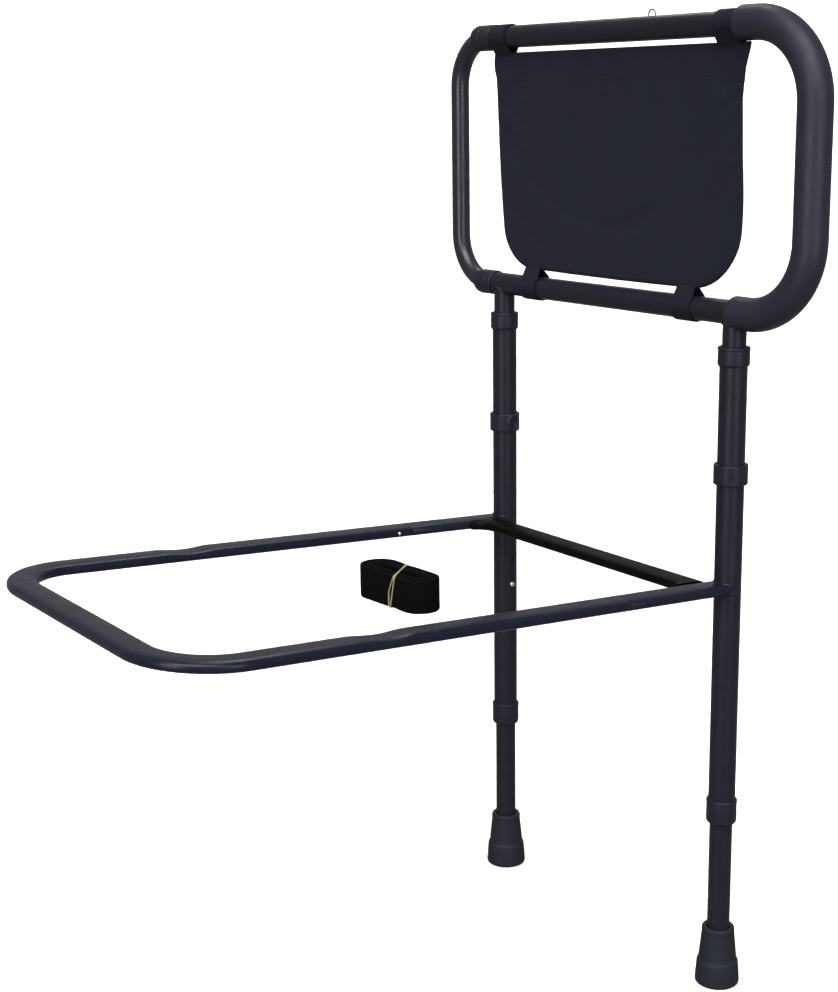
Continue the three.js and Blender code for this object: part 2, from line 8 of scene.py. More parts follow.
import bpy
import numpy as np
from mathutils import Matrix, Vector


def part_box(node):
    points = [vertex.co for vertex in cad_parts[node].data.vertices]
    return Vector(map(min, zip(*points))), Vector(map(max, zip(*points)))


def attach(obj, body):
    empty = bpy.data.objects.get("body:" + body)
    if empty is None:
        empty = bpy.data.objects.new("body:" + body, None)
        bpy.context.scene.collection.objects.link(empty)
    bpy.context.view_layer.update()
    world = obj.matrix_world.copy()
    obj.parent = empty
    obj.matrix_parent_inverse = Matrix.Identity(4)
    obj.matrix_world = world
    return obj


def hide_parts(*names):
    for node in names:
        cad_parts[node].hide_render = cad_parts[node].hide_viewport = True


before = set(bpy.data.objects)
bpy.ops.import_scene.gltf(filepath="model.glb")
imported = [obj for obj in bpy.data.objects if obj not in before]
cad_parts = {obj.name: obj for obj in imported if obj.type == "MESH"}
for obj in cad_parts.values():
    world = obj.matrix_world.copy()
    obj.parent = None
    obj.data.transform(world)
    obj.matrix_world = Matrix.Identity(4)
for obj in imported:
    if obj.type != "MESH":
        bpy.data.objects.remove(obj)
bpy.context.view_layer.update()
SIDES = (("left", -1), ("right", 1))

# ---- sizes, in millimetres. A tube's _R is its outer radius and its _IN its inner radius ----
LEG_X = 190
LEG_R, LEG_IN, LEG_BOTTOM, LEG_TOP = 14.3, 12.8, 192, 703.8
STEM_R, STEM_IN, STEM_BOTTOM, STEM_TOP = 12.25, 11.05, 555, 722
LOWER_BOTTOM, LOWER_TOP = 14.6, 385
LEG_HOLE, SPARE_HOLE, STEM_HOLE, HOLE_R = 372, 401.3, 574, 3.7
# Collars: outer radius, bottom, top, bore radius, lip. Buttons: seat, flange radius, neck radius.
TOP_COLLAR, BOTTOM_COLLAR = (16.6, 685.9, 706.2, 12.6, 4), (16.5, 189.6, 216.4, 12.6, 5)
LEG_BUTTON, LOOP_BUTTON, STEM_BUTTON_TIP = (9.49, 4.5, 3.3), (10.57, 2.7, 2.2), 17.0
BASE_Z, BASE_TILT = 452.5, math.radians(3.56)
OVAL_W, OVAL_H, WALL = 31, 12.2, 1.2
CROWN = 3.2  # the power of the oval's curve: 2 is an ellipse, more is squarer
EASED = 0.975  # the oval's size where its open ends are eased
SPIGOT_LESS, BORE_LESS = 3.0, 5.4  # how much smaller than the arm its reduced end and its bore are
BASE_LENGTH, BASE_BEND = 644.6, 70
JOINT_Y, SPIGOT_Y, LOOP_HOLE_Y = 148, 204, 167
BAR_Y, BAR_FILLET = 33.8, 20
NOTCH_Y, NOTCH_NEAR, NOTCH_FAR, NOTCH_DEEP = 434, 28, 34, 2.1
TOP_Z, LOW_Z, RAIL_R = 1022.3, 739.9, 12.5
RIGHT_X, RIGHT_BEND = 286.6, 77
LEFT_X, LEFT_BEND, END_R = -275.3, 55, 10.75
HOOP_END, END_TIP, SLEEVE_END = -218, -196, -203
GRIP_R, GRIP_X = 17.25, 189.5
EYELET_X, EYELET_R = 60, 5.2
POCKET_BOTTOM, POCKET_TOP, MOUTH_Z, HEM_Z = 760.2, 1005, 966, 974
POCKET_WIDE, CORNER_LEFT, CORNER_RIGHT, BOTTOM_SAG = 390, 52, 66, 1.8
HEM_DEEP, HEM_RAISE, SEAM_INSET = 12, 0.5, 6
BACK_BULGE, FRONT_BULGE = 2.2, 3.6
TAB_TIP, STRAP_TIP, LOOP_GAP, LOOP_THICK = 1001, 764, 1.1, 1.6
STRAP_WIDE, STRAP_THICK, STRAP_PITCH = 33, 1.75, 1.95
ROLL_REACH, ROLL_R, ROLL_TURNS, ROLL_TURN = 31.8, 21.4, 9, 0.07
FRONT_WAIST, BACK_WAIST, WAIST_LONG, WAIST_DEEP = 13, -11, 9, 0.07
STRAP_MIDDLE = np.array([59.5, -325.5, 464.8])

# ---- camera in degrees and millimetres, light and stage in degrees and metres ----
CAMERA_YAW, CAMERA_PITCH, CAMERA_ROLL = 55.283, 13.134, -0.85
CAMERA_AT, LENS, SENSOR = (1415.3, -1240.1, 955.0), 61.8, 36
AMBIENT = 0.33
KEY_FROM, KEY_POWER, KEY_SPREAD = (0.5, -0.5, 0.9), 4.4, 50
BACK_FROM, BACK_POWER, BACK_SPREAD = (-0.55, 0.8, 0.2), 6, 60
FLOOR_REACH, BACKDROP_HIGH = 28, 24

UP, EAST, NORTH = Vector((0, 0, 1)), Vector((1, 0, 0)), Vector((0, 1, 0))


def middle_of(node):
    low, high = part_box(node)
    return (low + high) / 2


LEGS = [middle_of("outer_leg_left"), middle_of("outer_leg_right")]
ORIGIN = np.array([(LEGS[0].x + LEGS[1].x) / 2, (LEGS[0].y + LEGS[1].y) / 2, 0])


def to_row(points):
    return np.asarray(points, float) / 1000 + ORIGIN


def new_object(name, data):
    made = bpy.data.objects.new(name, data)
    bpy.context.scene.collection.objects.link(made)
    return made


def new_mesh(name, points, faces):
    mesh = bpy.data.meshes.new(name)
    mesh.from_pydata(points, [], faces)
    return mesh


# ---- camera, floor and light ----
def make_camera():
    yaw, pitch, roll = (math.radians(a) for a in (CAMERA_YAW, CAMERA_PITCH, CAMERA_ROLL))
    ahead = Vector((-math.sin(yaw) * math.cos(pitch), math.cos(yaw) * math.cos(pitch), -math.sin(pitch)))
    right = Vector((math.cos(yaw), math.sin(yaw), 0))
    above = right.cross(ahead)
    across = right * math.cos(roll) + above * math.sin(roll)
    up = above * math.cos(roll) - right * math.sin(roll)
    data = bpy.data.cameras.new("camera")
    data.lens, data.sensor_width = LENS, SENSOR
    camera = new_object("camera", data)
    place = Matrix((across, up, -ahead)).transposed().to_4x4()
    place.translation = Vector(to_row(CAMERA_AT))
    camera.matrix_world = place
    bpy.context.scene.camera = camera


def aimed(light, ahead):
    light.rotation_mode = "QUATERNION"
    light.rotation_quaternion = ahead.to_track_quat("-Z", "Y")
    return light


def area_light(name, position, target, size, power):
    data = bpy.data.lights.new(name, "AREA")
    data.shape, data.size, data.size_y, data.energy = "RECTANGLE", size[0], size[1], power
    aimed(new_object(name, data), Vector(target) - Vector(position)).location = position


def sun_light(name, came_from, power, spread):
    data = bpy.data.lights.new(name, "SUN")
    data.energy, data.angle = power, math.radians(spread)
    return aimed(new_object(name, data), -Vector(came_from))


def stage_piece(name, points, faces, material):
    """A piece of the studio that the camera sees, but that throws no light on the object."""
    mesh = new_mesh(name, points, faces)
    mesh.materials.append(material)
    piece = new_object(name, mesh)
    piece.visible_diffuse = piece.visible_glossy = False
    return piece


def make_studio():
    world = bpy.data.worlds.new("studio")
    world.use_nodes = True
    world.node_tree.nodes["Background"].inputs["Color"].default_value = (1, 1, 1, 1)
    world.node_tree.nodes["Background"].inputs["Strength"].default_value = AMBIENT
    bpy.context.scene.world = world
    bpy.context.scene.view_settings.view_transform = "Standard"
    sun_light("key_light", KEY_FROM, KEY_POWER, KEY_SPREAD)
    sun_light("back_light", BACK_FROM, BACK_POWER, BACK_SPREAD).visible_glossy = False
    area_light("left_strip", (1.05, -2.85, 1.0), (0, 0, 0.6), (0.55, 1.9), 44)
    area_light("right_strip", (3.0, -0.1, 1.0), (0, 0, 0.6), (0.7, 1.9), 28)
    area_light("top_strip", (-1.5, 1.1, 3.4), (0, -0.1, 0.6), (0.4, 2.4), 20)
    reach, high = FLOOR_REACH, BACKDROP_HIGH
    corners = [(-reach, -reach), (reach, -reach), (reach, reach), (-reach, reach)]
    stage_piece("floor", [(x, y, 0) for x, y in corners], [(0, 1, 2, 3)], FLOOR)
    walls = [(x, y, z) for z in (0, high) for x, y in corners]
    sides = [(i, (i + 1) % 4, 4 + (i + 1) % 4, 4 + i) for i in range(4)]
    backdrop = stage_piece("backdrop", walls, sides + [(4, 5, 6, 7)], BACKDROP)
    backdrop.visible_shadow = False


# ---- materials ----
STRIPES_PER_METRE = 3.1831  # of a wave texture at scale 1


class Surface:
    """A Principled material with helpers for the nodes that vary it."""

    def __init__(self, name, color, roughness, specular=0.3, metallic=0.0, sheen=0.0):
        self.material = bpy.data.materials.new(name)
        self.material.use_nodes = True
        self.tree = self.material.node_tree
        self.shader = self.tree.nodes["Principled BSDF"]
        self.color = color
        self.set("Base Color", (*color, 1))
        self.set("Roughness", roughness)
        self.set("Specular IOR Level", specular)
        self.set("Metallic", metallic)
        self.set("Sheen Weight", sheen)
        self.set("Sheen Roughness", 0.5)
        self.coordinates = self.node("ShaderNodeTexCoord").outputs["Object"]
        self.height = None

    def set(self, socket, value):
        self.shader.inputs[socket].default_value = value

    def node(self, kind, **settings):
        node = self.tree.nodes.new(kind)
        for key, value in settings.items():
            setattr(node, key, value)
        return node

    def link(self, source, target):
        self.tree.links.new(source, target)

    def stretched(self, scale):
        mapping = self.node("ShaderNodeMapping")
        mapping.inputs["Scale"].default_value = scale
        self.link(self.coordinates, mapping.inputs["Vector"])
        return mapping.outputs["Vector"]

    def noise(self, scale, detail=2.0, stretch=(1, 1, 1)):
        node = self.node("ShaderNodeTexNoise")
        node.inputs["Scale"].default_value = scale
        node.inputs["Detail"].default_value = detail
        self.link(self.stretched(stretch), node.inputs["Vector"])
        return node.outputs["Fac"]

    def wave(self, direction, period):
        """Threads that lie side by side along one axis, with the given period in metres."""
        node = self.node("ShaderNodeTexWave", wave_type="BANDS", bands_direction=direction,
                         wave_profile="SIN")
        node.inputs["Scale"].default_value = 1 / (period * STRIPES_PER_METRE)
        self.link(self.coordinates, node.inputs["Vector"])
        return node.outputs["Fac"]

    def math(self, operation, a, b):
        node = self.node("ShaderNodeMath", operation=operation)
        for socket, value in zip(node.inputs, (a, b)):
            if isinstance(value, (int, float)):
                socket.default_value = value
            else:
                self.link(value, socket)
        return node.outputs[0]

    def spread(self, factor, low, high):
        node = self.node("ShaderNodeMapRange")
        node.inputs["From Min"].default_value, node.inputs["From Max"].default_value = 0.3, 0.7
        node.inputs["To Min"].default_value, node.inputs["To Max"].default_value = low, high
        self.link(factor, node.inputs["Value"])
        return node.outputs["Result"]

    def tint(self, factor, dark, light):
        """Mixes the base colour between two brightnesses."""
        ramp = self.node("ShaderNodeMix", data_type="RGBA")
        ramp.inputs["A"].default_value = (*[c * dark for c in self.color], 1)
        ramp.inputs["B"].default_value = (*[c * light for c in self.color], 1)
        self.link(factor, ramp.inputs["Factor"])
        self.link(ramp.outputs["Result"], self.shader.inputs["Base Color"])

    def roughen(self, factor, low, high):
        self.link(self.spread(factor, low, high), self.shader.inputs["Roughness"])

    def bump(self, height, distance):
        """Adds a relief, in metres, on top of those added before."""
        node = self.node("ShaderNodeBump")
        node.inputs["Distance"].default_value = distance
        self.link(height, node.inputs["Height"])
        if self.height is not None:
            self.link(self.height, node.inputs["Normal"])
        self.height = node.outputs["Normal"]
        self.link(self.height, self.shader.inputs["Normal"])


def powder_coat(name, color, roughness, specular=0.3):
    surface = Surface(name, color, roughness, specular)
    surface.tint(surface.noise(35, 4), 0.85, 1.15)
    surface.roughen(surface.noise(60, 3), roughness - 0.05, roughness + 0.07)
    surface.bump(surface.noise(900, 2), 0.00008)
    surface.bump(surface.noise(2600, 2), 0.00003)
    return surface.material


def moulded(name, color, roughness, specular=0.3):
    surface = Surface(name, color, roughness, specular)
    surface.tint(surface.noise(50, 3), 0.9, 1.12)
    surface.roughen(surface.noise(140, 4), roughness - 0.06, roughness + 0.08)
    surface.bump(surface.noise(1800, 3), 0.00005)
    return surface.material


def rubber(name, color, roughness):
    surface = Surface(name, color, roughness, 0.25)
    surface.tint(surface.noise(90, 6), 0.8, 1.25)
    surface.bump(surface.noise(700, 4), 0.00012)
    return surface.material


def foam(name, color):
    surface = Surface(name, color, 0.5, 0.3)
    surface.tint(surface.noise(28, 3), 0.85, 1.15)
    pores = surface.node("ShaderNodeTexVoronoi", feature="SMOOTH_F1")
    pores.inputs["Scale"].default_value = 900
    surface.link(surface.coordinates, pores.inputs["Vector"])
    surface.roughen(surface.noise(45, 3), 0.42, 0.58)
    surface.bump(pores.outputs["Distance"], 0.0001)
    surface.bump(surface.noise(70, 3), 0.0002)
    return surface.material


def woven(name, color, across, along, period, sheen=0.25, specular=0.15):
    """Cloth whose two sets of threads run across the two named axes."""
    surface = Surface(name, color, 0.9, specular, sheen=sheen)
    weave = surface.math("MULTIPLY", surface.wave(across, period), surface.wave(along, period))
    slubs = surface.noise(160, 4, (1, 1, 5))
    threads, streaks = surface.math("MULTIPLY", weave, 0.5), surface.math("MULTIPLY", slubs, 0.6)
    surface.tint(surface.math("ADD", threads, streaks), 0.75, 1.3)
    surface.bump(weave, 0.0002)
    surface.bump(surface.noise(40, 3), 0.0006)
    return surface.material


def steel(name, color, roughness):
    surface = Surface(name, color, roughness, 0.5, metallic=1.0)
    surface.tint(surface.noise(200, 4, (1, 1, 6)), 0.85, 1.1)
    surface.bump(surface.noise(1500, 2, (1, 1, 8)), 0.00003)
    return surface.material


def studio_white(name, glow):
    surface = Surface(name, (0.93, 0.93, 0.93), 0.9, 0.1)
    surface.tint(surface.noise(3, 2), 0.995, 1.0)
    surface.set("Emission Color", (1, 1, 1, 1))
    surface.set("Emission Strength", glow)
    return surface.material


NAVY = powder_coat("navy_powder_coat", (0.0062, 0.0066, 0.0118), 0.4, 0.22)
NAVY_BASE = powder_coat("navy_powder_coat_frame", (0.0056, 0.0066, 0.0148), 0.27, 0.2)
NAVY_END = powder_coat("navy_powder_coat_end", (0.0095, 0.0092, 0.0145), 0.3, 0.4)
BLACK = powder_coat("black_powder_coat", (0.0015, 0.0015, 0.0016), 0.38, 0.05)
COLLAR = moulded("collar_nylon", (0.0076, 0.008, 0.0145), 0.42, 0.2)
RUBBER = rubber("foot_rubber", (0.0062, 0.0074, 0.0125), 0.7)
FOAM = foam("grip_foam", (0.0112, 0.0103, 0.0195))
CLOTH = woven("pocket_oxford", (0.0092, 0.0103, 0.0184), "X", "Z", 0.0009, 0.02, 0.1)
BINDING = woven("pocket_binding", (0.0066, 0.0072, 0.0135), "X", "Z", 0.0007, 0.02, 0.1)
WEBBING = woven("black_webbing", (0.0016, 0.0016, 0.0018), "Z", "X", 0.0014, 0.0, 0.05)
BAND = rubber("rubber_band", (0.24, 0.21, 0.09), 0.55)
STEEL = steel("bright_steel", (0.75, 0.76, 0.78), 0.28)
WIRE = steel("eyelet_wire", (0.16, 0.16, 0.165), 0.35)
SPRING = steel("spring_steel", (0.5, 0.5, 0.52), 0.4)
THREAD = woven("stitch_thread", (0.011, 0.0115, 0.018), "X", "Z", 0.0004, 0.04)
FLOOR, BACKDROP = studio_white("floor_paint", 0), studio_white("backdrop_paint", 1)


# ---- mesh building ----
SHARP = 38  # degrees between two faces, above which their edge stays sharp


def add_piece(name, points, faces, material, body, replaces, slot, sharp=SHARP):
    mesh = new_mesh(name, to_row(points).tolist(), faces)
    mesh.shade_smooth()
    mesh.set_sharp_from_angle(angle=math.radians(sharp))
    mesh.materials.append(material)
    piece = new_object(name, mesh)
    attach(piece, body)
    if replaces:
        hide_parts(*replaces)
    return piece


def loft(rings, closed=False):
    """Joins rings of equal size with quads. The ends are capped, or joined to each other if closed."""
    rings = np.asarray(rings, float)
    count, size = rings.shape[:2]
    faces = []
    for i in range(count if closed else count - 1):
        a, b = i * size, ((i + 1) % count) * size
        faces += [(a + k, a + (k + 1) % size, b + (k + 1) % size, b + k) for k in range(size)]
    if not closed:
        faces.append(tuple(reversed(range(size))))
        faces.append(tuple(range((count - 1) * size, count * size)))
    return rings.reshape(-1, 3), faces


def joined(*parts):
    """Puts several (points, faces) pairs into one mesh."""
    points, faces, start = [], [], 0
    for some_points, some_faces in parts:
        points.append(some_points)
        faces += [tuple(start + k for k in face) for face in some_faces]
        start += len(some_points)
    return np.concatenate(points), faces


def circle(radius, count=48):
    angles = np.arange(count) * 2 * math.pi / count
    return np.stack([radius * np.cos(angles), radius * np.sin(angles)], 1)


def oval_rise(x, width, height):
    """How high a crowned oval stands above its middle at a distance x from its axis."""
    return height / 2 * np.maximum(1 - abs(x / (width / 2)) ** CROWN, 0) ** (1 / CROWN)


def oval(width, height, count=12):
    """A flat oval tube's section, slightly crowned above and below."""
    x = width / 2 * np.sin(np.linspace(-math.pi / 2, math.pi / 2, 2 * count))
    rise = oval_rise(x, width, height)
    top, low = np.stack([x, rise], 1), np.stack([x, -rise], 1)
    return np.concatenate([low, top[-2:0:-1]])


def rounded(profile, radius, steps=4):
    """Rounds the inner corners of a line of [r, z] points."""
    points = [np.array(p, float) for p in profile]
    out = [points[0]]
    for before, corner, after in zip(points, points[1:], points[2:]):
        back, ahead = before - corner, after - corner
        cut = min(radius, np.linalg.norm(back) * 0.45, np.linalg.norm(ahead) * 0.45)
        start = corner + back / np.linalg.norm(back) * cut
        end = corner + ahead / np.linalg.norm(ahead) * cut
        for t in np.linspace(0, 1, steps):
            out.append((1 - t) ** 2 * start + 2 * t * (1 - t) * corner + t * t * end)
    return out + [points[-1]]


def turned(profile, sides=64, closed=False):
    rings = [[(x, y, z) for x, y in circle(max(r, 0.02), sides)] for r, z in profile]
    return loft(rings, closed)


def moved(part, x=0, y=0, z=0):
    points, faces = part
    return points + np.array([x, y, z]), faces


def turned_over(part, matrix):
    points, faces = part
    return points @ np.array(matrix).T, faces


def laid_along_x(part):
    return turned_over(part, Matrix.Rotation(math.pi / 2, 3, "Y"))


def ring_round(radius, angle, z):
    """Points round the Z axis. Each value is a number or one number per point."""
    return np.stack([radius * np.cos(angle), radius * np.sin(angle), np.broadcast_to(z, angle.shape)], 1)


def directions(line):
    """Unit steps along a line of points."""
    ahead = np.gradient(line, axis=0)
    return ahead / np.linalg.norm(ahead, axis=1)[:, None]


def facing_of(sign):
    """The angle at which a leg faces the other leg: 0 for +X, pi for -X."""
    return math.pi if sign > 0 else 0


# A hole stands in a patch of finer grid. Places in it are in hole radii from the hole's middle.
PATCH, SUNK = 1.7, 0.97
FINE = np.array([-PATCH, -1.35, -1.05, -0.96, -0.65, -0.3, 0, 0.3, 0.65, 0.96, 1.05, 1.35, PATCH])
FAR = 99  # stands for anywhere outside the patch


def round_off(u, v):
    """Turns the squares of a grid into circles near the middle of a hole."""
    square, distance = np.maximum(abs(u), abs(v)), np.hypot(u, v)
    share = np.clip((PATCH - square) / 0.5, 0, 1)
    scale = 1 + share * (square / np.maximum(distance, 1e-6) - 1)
    return u * scale, v * scale


def pierced_tube(outer, inner, bottom, top, holes, facing, sides=60, edge=0.5, rail=None):
    """An upright tube with round holes on one side. Its top is coped to a rail where one is given."""
    reach = PATCH * HOLE_R / outer
    rest = np.linspace(reach, 2 * math.pi - reach, sides)[1:-1]
    offsets = np.concatenate([FINE * HOLE_R / outer, rest])
    levels = [(bottom, edge), (bottom + edge, 0)]
    for hole in sorted(holes):
        levels += [(hole + step * HOLE_R, 0) for step in FINE]
    levels += [(top - edge, 0), (top, edge)]
    rings = []
    for z, cut in levels:
        near = min(holes, key=lambda hole: abs(hole - z))
        u = np.where(abs(offsets) <= reach + 1e-9, offsets * outer / HOLE_R, FAR)
        v = np.full_like(u, (z - near) / HOLE_R)
        inside = np.maximum(abs(u), abs(v)) <= PATCH + 0.0001
        ru, rv = round_off(u, v)
        angle = facing + np.where(inside, ru * HOLE_R / outer, offsets)
        height = np.where(inside, near + rv * HOLE_R, z)
        sunk = np.maximum(abs(u), abs(v)) <= SUNK
        radius = outer - cut - np.where(sunk, (outer - inner) + 0.3, 0)
        rings.append(ring_round(radius, angle, height))
    rings += [ring_round(inner, facing + offsets, z) for z in (top, bottom)]
    if rail:
        for ring in (rings[-3], rings[-2]):
            ring[:, 2] = rail - np.sqrt(np.maximum((RAIL_R + 0.1) ** 2 - ring[:, 1] ** 2, 0))
    return loft(rings, closed=True)


# ---- paths for bent tubes ----
def bend(centre, radius, start, end, steps=18):
    """Points and tangents of a quarter bend from the unit direction start to the unit direction end."""
    out = []
    for angle in np.linspace(0, math.pi / 2, steps):
        point = centre + radius * (start * math.cos(angle) + end * math.sin(angle))
        out.append((point, end * math.cos(angle) - start * math.sin(angle)))
    return out


def straight(start, end, steps):
    along = (end - start).normalized()
    return [(start.lerp(end, t), along) for t in np.linspace(0, 1, steps)]


def sweep_rings(path, section, normal):
    """Rings of a section along a flat path. Its first number runs across, its second along normal."""
    rings = []
    for i, (point, tangent) in enumerate(path):
        shape = section[i] if isinstance(section, list) else section
        across = tangent.cross(normal).normalized()
        rings.append([point + across * a + normal * b for a, b in shape])
    return np.array([[tuple(p) for p in ring] for ring in rings])


def hollow_sweep(path, outer, inner, normal):
    rings = np.concatenate([sweep_rings(path, outer, normal), sweep_rings(path, inner, normal)[::-1]])
    return loft(rings, closed=True)


def bead(curve, radius, ripple=0.12, sides=10):
    """A weld bead along a closed curve, with the ripples of its passes."""
    curve = np.asarray(curve, float)
    ahead = np.roll(curve, -1, 0) - np.roll(curve, 1, 0)
    ahead /= np.linalg.norm(ahead, axis=1)[:, None]
    middle = curve.mean(0)
    rings = []
    for i, (point, along) in enumerate(zip(curve, ahead)):
        out = point - middle
        out -= along * out.dot(along)
        out /= max(np.linalg.norm(out), 1e-9)
        side = np.cross(along, out)
        size = radius * (1 + ripple * math.sin(i * 2.1))
        rings.append([point + size * (out * a + side * b) for a, b in circle(1, sides)])
    return loft(rings, closed=True)


# ---- legs ----
def placed_leg(part, sign):
    return moved(part, x=sign * LEG_X)


def collar(outer, bottom, top, bore, lip):
    """A moulded end collar with a raised lip round its top."""
    profile = rounded(
        [(bore, bottom), (outer - 1.4, bottom), (outer - 0.2, bottom + 2.2),
         (outer - 0.3, top - lip - 0.7), (outer - 0.6, top - lip), (outer, top - lip + 0.5),
         (outer, top - 1.0), (outer - 1.4, top), (bore, top)],
        0.6,
    )
    return turned(profile, closed=True)


def guard_ring(facing):
    """A moulded ring with an oval recess round the snap button's hole."""
    outer, inner, half = 17.8, 14.4, 10.6
    patch, recess_wide, recess_high, recess_deep, boss_high = 9.5, 6.2, 8.6, 2.6, 1.5
    fine = np.linspace(-patch, patch, 31) / outer
    rest = np.linspace(patch / outer, 2 * math.pi - patch / outer, 52)[1:-1]
    offsets = np.concatenate([fine, rest])
    rings = []
    levels = [(-half, 1.0), (-half + 0.3, 0.4), (-half + 1.0, 0)] + [(z, 0) for z in np.linspace(-9, 9, 29)]
    for z, cut in levels + [(half - 1.0, 0), (half - 0.3, 0.4), (half, 1.0)]:
        around = np.where(offsets < 1, offsets * outer, FAR)
        distance = np.hypot(around / recess_wide, z / recess_high)
        hollow = recess_deep * np.sqrt(np.clip(1 - distance**2, 0, 1))
        boss = boss_high * np.clip(1.5 - distance, 0, 0.5) / 0.5
        hole = 1.1 * (np.hypot(around, z) < HOLE_R)
        radius = outer - cut + boss - hollow - hole
        rings.append(ring_round(radius, facing + offsets, z))
    rings += [ring_round(inner, facing + offsets, z) for z in (half, -half)]
    return moved(loft(rings, closed=True), z=STEM_HOLE)


def foot_shape():
    profile = rounded(
        [(0, 0.6), (19.5, 0.6), (20.3, 0), (22.2, 0), (24.15, 2.2), (23.1, 19), (22.4, 26.2),
         (21.6, 27.9), (20.9, 28.8), (20.6, 31), (17.6, 61.5), (17.9, 62.6), (17.7, 65.2), (16.4, 67),
         (13.0, 66.8), (12.5, 65)],
        1.2,
    )
    return turned(profile + [np.array([12.5, 60.0])], 72)


def button_shape(seat, flange, neck, tip):
    """A snap button on its flange, pointing along +X."""
    dome = [(neck * math.cos(a), tip - 2.3 + 2.3 * math.sin(a)) for a in np.linspace(0, math.pi / 2, 9)]
    profile = [(0, seat - 1.6), (flange, seat - 1.6), (flange, seat), (neck, seat)] + dome
    return laid_along_x(turned(profile, 32))


def facing_in(part, sign):
    """Turns a shape that points along +X to point at the other leg."""
    return turned_over(part, Matrix.Rotation(facing_of(sign), 3, "Z"))


def build_leg(name, sign):
    facing = facing_of(sign)
    lower_body = f"lower_leg_{name}"

    def add(piece, part, material, body, node, slot):
        add_piece(piece, *placed_leg(part, sign), material, body, (node,), slot)

    tube = pierced_tube(LEG_R, LEG_IN, LEG_BOTTOM, LEG_TOP, [LEG_HOLE, SPARE_HOLE, STEM_HOLE], facing)
    add(f"leg_tube_{name}", tube, NAVY, "frame", f"outer_leg_{name}", "navy_coat")
    mouldings = (("top_collar", collar(*TOP_COLLAR)),
                 ("bottom_collar", collar(*BOTTOM_COLLAR)),
                 ("guard_ring", guard_ring(facing)))
    for kind, part in mouldings:
        add(f"leg_{kind}_{name}", part, COLLAR, "frame", f"{kind}_{name}", "collar_plastic")
    lower = pierced_tube(STEM_R, STEM_IN, LOWER_BOTTOM, LOWER_TOP, [LEG_HOLE], facing)
    add(f"leg_lower_tube_{name}", lower, NAVY, lower_body, f"lower_leg_{name}", "navy_coat")
    add(f"leg_foot_{name}", foot_shape(), RUBBER, lower_body, f"foot_{name}", "foot_rubber")
    buttons = (("leg", LEG_HOLE, LEG_R + 2, STEEL, "button_steel"),
               ("stem", STEM_HOLE, STEM_BUTTON_TIP, COLLAR, "collar_plastic"))
    for kind, hole, tip, material, slot in buttons:
        part = moved(facing_in(button_shape(*LEG_BUTTON, tip), sign), z=hole)
        body = node = f"{kind}_button_{name}"
        add(f"snap_button_{kind}_{name}", part, material, body, node, slot)


# ---- under-mattress frame ----
TILT = Matrix.Rotation(-BASE_TILT, 3, "X")


def tilted(part):
    return moved(turned_over(part, TILT), z=BASE_Z)


def oval_weld():
    """The line where an arm's coped end meets its leg, over the top and back underneath."""
    xs = np.sin(np.linspace(-math.pi / 2, math.pi / 2, 26)) * (LEG_R + 0.2)
    over = oval_rise(xs, OVAL_W, OVAL_H)
    ys = -np.sqrt(np.maximum((LEG_R + 0.3) ** 2 - xs**2, 0)) + 0.3
    top = np.stack([xs, ys, over - 0.3], 1)
    low = np.stack([xs, ys, -over + 0.3], 1)[::-1]
    edge_z = over[-1]
    right = [(LEG_R + 0.5, 1.2, z) for z in np.linspace(edge_z, -edge_z, 7)[1:-1]]
    left = [(-LEG_R - 0.5, 1.2, z) for z in np.linspace(-edge_z, edge_z, 7)[1:-1]]
    return np.concatenate([top, right, low, left])


def coped_arm(sign):
    """A rear arm: its end hollowed to the leg, its other end reduced to plug into the loop."""
    outer, spigot, inner = (oval(OVAL_W - less, OVAL_H - less, 16) for less in (0, SPIGOT_LESS, BORE_LESS))
    cope = LEG_R + 0.25
    reach, inner_reach = (np.sqrt(np.maximum(cope**2 - shape[:, 0] ** 2, 0)) for shape in (outer, inner))
    back = np.where(abs(outer[:, 0]) < cope, -reach, 2.0)
    rings = [np.stack([inner[:, 0], -inner_reach, inner[:, 1]], 1),
             np.stack([outer[:, 0], back, outer[:, 1]], 1)]
    for y, shape in [(-24, outer), (-JOINT_Y + 0.9, outer), (-JOINT_Y + 0.3, outer * EASED),
                     (-JOINT_Y + 0.3, spigot), (-SPIGOT_Y + 2.5, spigot), (-SPIGOT_Y, spigot * 0.94),
                     (-SPIGOT_Y, inner), (-30, inner)]:
        rings.append(np.stack([shape[:, 0], np.full(len(shape), y), shape[:, 1]], 1))
    return moved(loft(rings, closed=True), x=sign * LEG_X)


def loop_path():
    side, front = LEG_X - BASE_BEND, BASE_LENGTH - BASE_BEND
    south = -NORTH
    path = straight(Vector((-LEG_X, -JOINT_Y - 0.6, 0)), Vector((-LEG_X, -front, 0)), 120)
    path += bend(Vector((-side, -front, 0)), BASE_BEND, -EAST, south, 24)[1:]
    path += bend(Vector((side, -front, 0)), BASE_BEND, south, EAST, 24)
    path += straight(Vector((LEG_X, -front, 0)), Vector((LEG_X, -JOINT_Y - 0.6, 0)), 120)[1:]
    return path


def saddle(points):
    """Presses the saddle notch into the top of both side tubes."""
    past = -points[:, 1] - NOTCH_Y
    along = np.clip(past / np.where(past < 0, NOTCH_NEAR, NOTCH_FAR), -1, 1)
    depth = np.cos(along * math.pi / 2) ** 1.5
    points = points.copy()
    points[:, 2] -= NOTCH_DEEP * depth * (points[:, 2] > 0)
    return points


